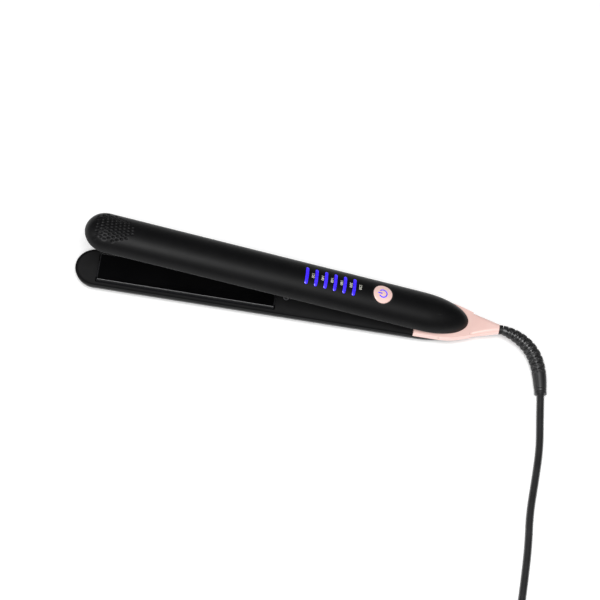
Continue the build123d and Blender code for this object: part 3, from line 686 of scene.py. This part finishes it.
def crown_disc(name, at, radius, low, high, body, material, around=96, inner=0.0, soft=0.25):
    """Round piece that follows the upper arm's crown, with a softened edge. Hollow when inner > 0."""
    u0 = TIP_U + at
    edge = high - soft
    profile = []
    if inner > 0:
        profile += [(inner, low), (inner, edge)]
        for a in (0.5, 1.0, 1.57):
            profile.append((inner + soft * (1 - math.cos(a)), edge + soft * math.sin(a)))
    else:
        profile += [(0.02, high)]
        profile += [(radius * k / 8, high) for k in range(1, 8)]
    for a in (0.0, 0.4, 0.8, 1.2, 1.57):
        profile.append((radius - soft + soft * math.sin(a), edge + soft * math.cos(a)))
    profile += [(radius, low)]
    verts = []
    for r, proud in profile:
        for j in range(around):
            a = 2 * math.pi * j / around
            u = u0 + r * math.cos(a)
            y = r * math.sin(a)
            verts.append(upper_point(u, y, crown_w(u, y, proud)))
    faces = grid_faces(len(profile), around, close_rows=inner > 0)
    if inner == 0:
        faces.append(tuple(range(around)))
        faces.append(tuple(range((len(profile) - 1) * around, len(profile) * around)))
    piece = mesh_object(name, verts, faces, body, material, 40)
    return piece


def cylinder_cutter(at, radius):
    """Closed cylinder square to the upper arm's face, through its crown."""
    verts = []
    around = 96
    for w in (FACE_W + 5, FACE_W + CROWN + 3):
        for j in range(around):
            a = 2 * math.pi * j / around
            verts.append(upper_point(TIP_U + at + radius * math.cos(a), radius * math.sin(a), w))
    faces = grid_faces(2, around)
    faces.append(tuple(range(around)))
    faces.append(tuple(range(around, 2 * around)))
    mesh = bpy.data.meshes.new("cutter")
    mesh.from_pydata([tuple(v) for v in verts], [], faces)
    tidy = bmesh.new()
    tidy.from_mesh(mesh)
    bmesh.ops.recalc_face_normals(tidy, faces=tidy.faces)
    tidy.to_mesh(mesh)
    tidy.free()
    return link(bpy.data.objects.new("cutter", mesh))


def crown_strip(name, centre_u, length, width, proud, body, material):
    """Long rounded lens lying across the crown, a little proud of it."""
    profile = ((-1.0, -0.3), (-1.0, 0.0), (-0.9, 0.4), (-0.7, 0.75), (-0.35, 0.96), (0.0, 1.0),
               (0.35, 0.96), (0.7, 0.75), (0.9, 0.4), (1.0, 0.0), (1.0, -0.3))
    rows = 44
    verts = []
    for i in range(rows + 1):
        y = -length / 2 * math.cos(math.pi * i / rows)
        from_end = length / 2 - abs(y)
        end = math.sqrt(max(0.0, 1 - (1 - min(1.0, from_end / (width / 2))) ** 2))
        for k, lift in profile:
            u = centre_u + width / 2 * k * end
            raised = lift * proud * end if lift > 0 else lift
            verts.append(upper_point(u, y, crown_w(u, y, raised)))
    faces = grid_faces(rows + 1, len(profile))
    piece = mesh_object(name, verts, faces, body, material, 60)
    return piece


def on_crown(curve_object, centre_u, centre_y, turn, proud):
    """Turns a flat text or outline into a mesh laid on the crown."""
    mesh = bpy.data.meshes.new_from_object(curve_object)
    bpy.data.objects.remove(curve_object)
    for vertex in mesh.vertices:
        x, y, z = vertex.co
        u = centre_u + (x * math.cos(turn) - y * math.sin(turn)) / MM
        across = centre_y + (x * math.sin(turn) + y * math.cos(turn)) / MM
        vertex.co = upper_point(u, across, crown_w(u, across, proud if z > 0 else -0.2))
    return mesh


def number(text, centre_u, centre_y):
    """A small generic scale number, printed across the arm."""
    curve = bpy.data.curves.new("number", "FONT")
    curve.body = text
    curve.size = 2.5 * MM
    curve.align_x = "CENTER"
    curve.align_y = "CENTER"
    curve.extrude = 0.0001
    curve.resolution_u = 3
    helper = bpy.data.objects.new("number", curve)
    mesh = on_crown(helper, centre_u, centre_y, -math.pi / 2, 0.04)
    mesh.materials.append(PRINT)
    piece = link(bpy.data.objects.new("scale_number_" + text, mesh))
    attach(piece, "upper_arm")
    return piece


MARK_R = (2.25, 3.0)      # inside and outside of the broken ring
MARK_LINE = (-3.4, -0.5)  # ends of the line, from the button's middle
MARK_LINE_HALF_W = 0.38
MARK_PROUD = 0.40
MARK_SUNK = -0.2


def power_mark():
    """Broken ring with a line through the break, inlaid in the button and lit."""
    verts = []
    u0 = TIP_U + BUTTON_AT
    steps = 40
    gap = math.radians(35)
    section = [(MARK_R[0], MARK_SUNK), (MARK_R[0], MARK_PROUD),
               (MARK_R[1], MARK_PROUD), (MARK_R[1], MARK_SUNK)]
    for i in range(steps + 1):
        a = math.pi + gap + (2 * math.pi - 2 * gap) * i / steps
        for r, lift in section:
            u = u0 + r * math.cos(a)
            y = r * math.sin(a)
            verts.append(upper_point(u, y, crown_w(u, y, lift)))
    faces = grid_faces(steps + 1, 4)
    faces.append((0, 1, 2, 3))
    faces.append(tuple(range(4 * steps, 4 * steps + 4)))
    base = len(verts)
    near, far = MARK_LINE
    half = MARK_LINE_HALF_W
    for u, y in ((near, -half), (far, -half), (far, half), (near, half)):
        for lift in (MARK_SUNK, MARK_PROUD):
            verts.append(upper_point(u0 + u, y, crown_w(u0 + u, y, lift)))
    for a, b in ((0, 1), (1, 2), (2, 3), (3, 0)):
        faces.append((base + 2 * a, base + 2 * b, base + 2 * b + 1, base + 2 * a + 1))
    faces.append((base, base + 2, base + 4, base + 6))
    faces.append((base + 1, base + 3, base + 5, base + 7))
    piece = mesh_object("lit_power_mark", verts, faces, "power_button", BLUE_LIGHT, 30)
    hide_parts("power_symbol")
    return piece


upper_casing = arm_shell("upper_casing", upper_point, "upper_arm", "upper_shell", dimpled=True,
                         flat_back=False, relieved=True)
cut(upper_casing, cylinder_cutter(BUTTON_AT, HOLE_R))
arm_shell("lower_casing", lower_point, "lower_arm", "lower_shell", dimpled=False, flat_back=True,
          relieved=False)
ring = crown_disc("button_ring", BUTTON_AT, RING_R, -1.6, 0.12, "upper_arm", COVER_BLACK,
                  inner=BUTTON_R + RING_GAP, soft=0.15)
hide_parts("button_bezel")
button = crown_disc("button_cap", BUTTON_AT, BUTTON_R, -2.0, 0.35, "power_button", ROSE_GOLD,
                    soft=0.3)
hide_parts("power_button")
power_mark()
for i in range(BAR_COUNT):
    bar_u = TIP_U + BARS_AT + i * BAR_PITCH
    crown_strip(f"lit_bar_{i + 1}", bar_u, BAR_LENGTH, BAR_WIDTH, BAR_PROUD, "upper_arm",
                            BLUE_LIGHT)
    number(str(120 + 20 * i), TIP_U + BARS_AT + (i + 0.62) * BAR_PITCH, 0.6)
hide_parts("light_bars")


# ---------------------------------------------------------------- studio
# Soft boxes: place and size in metres, and watts
LAMPS = {
    "key": ((-0.1, -0.85, 1.95), (0.9, 0.9), 50.0),
    "fill": ((-1.6, -0.5, 0.9), (0.7, 0.5), 4.0),
    "back": ((0.5, 1.7, 0.55), (1.2, 0.3), 0.8),
}


def make_studio():
    """White floor that glows a little, under three soft boxes in a dark room."""
    scene = bpy.context.scene
    scene.view_settings.view_transform = "Standard"
    scene.view_settings.look = "None"
    mesh = bpy.data.meshes.new("floor")
    mesh.from_pydata([(-6, -6, 0), (6, -6, 0), (6, 6, 0), (-6, 6, 0)], [], [(0, 1, 2, 3)])
    material, tree, shader = new_material("floor")
    tree.links.new(ramp(tree, noise_node(tree, 2.0), (0.9, 0.9, 0.9, 1), (0.93, 0.93, 0.93, 1)),
                   shader.inputs["Base Color"])
    shader.inputs["Roughness"].default_value = 0.9
    shader.inputs["Emission Color"].default_value = (1, 1, 1, 1)
    shader.inputs["Emission Strength"].default_value = 0.2
    mesh.materials.append(material)
    floor = link(bpy.data.objects.new("floor", mesh))
    floor.location.z = -0.0002
    world = bpy.data.worlds.new("studio")
    world.use_nodes = True
    world.node_tree.nodes["Background"].inputs["Color"].default_value = (1, 1, 1, 1)
    world.node_tree.nodes["Background"].inputs["Strength"].default_value = 0.07
    scene.world = world
    for name, (place, size, power) in LAMPS.items():
        data = bpy.data.lights.new(name, "AREA")
        data.shape = "RECTANGLE"
        data.size, data.size_y = size
        data.energy = power
        lamp = link(bpy.data.objects.new(name, data))
        lamp.location = place
        aim = Vector((0, 0, 0.03)) - Vector(place)
        lamp.rotation_euler = aim.to_track_quat("-Z", "Y").to_euler()


make_studio()
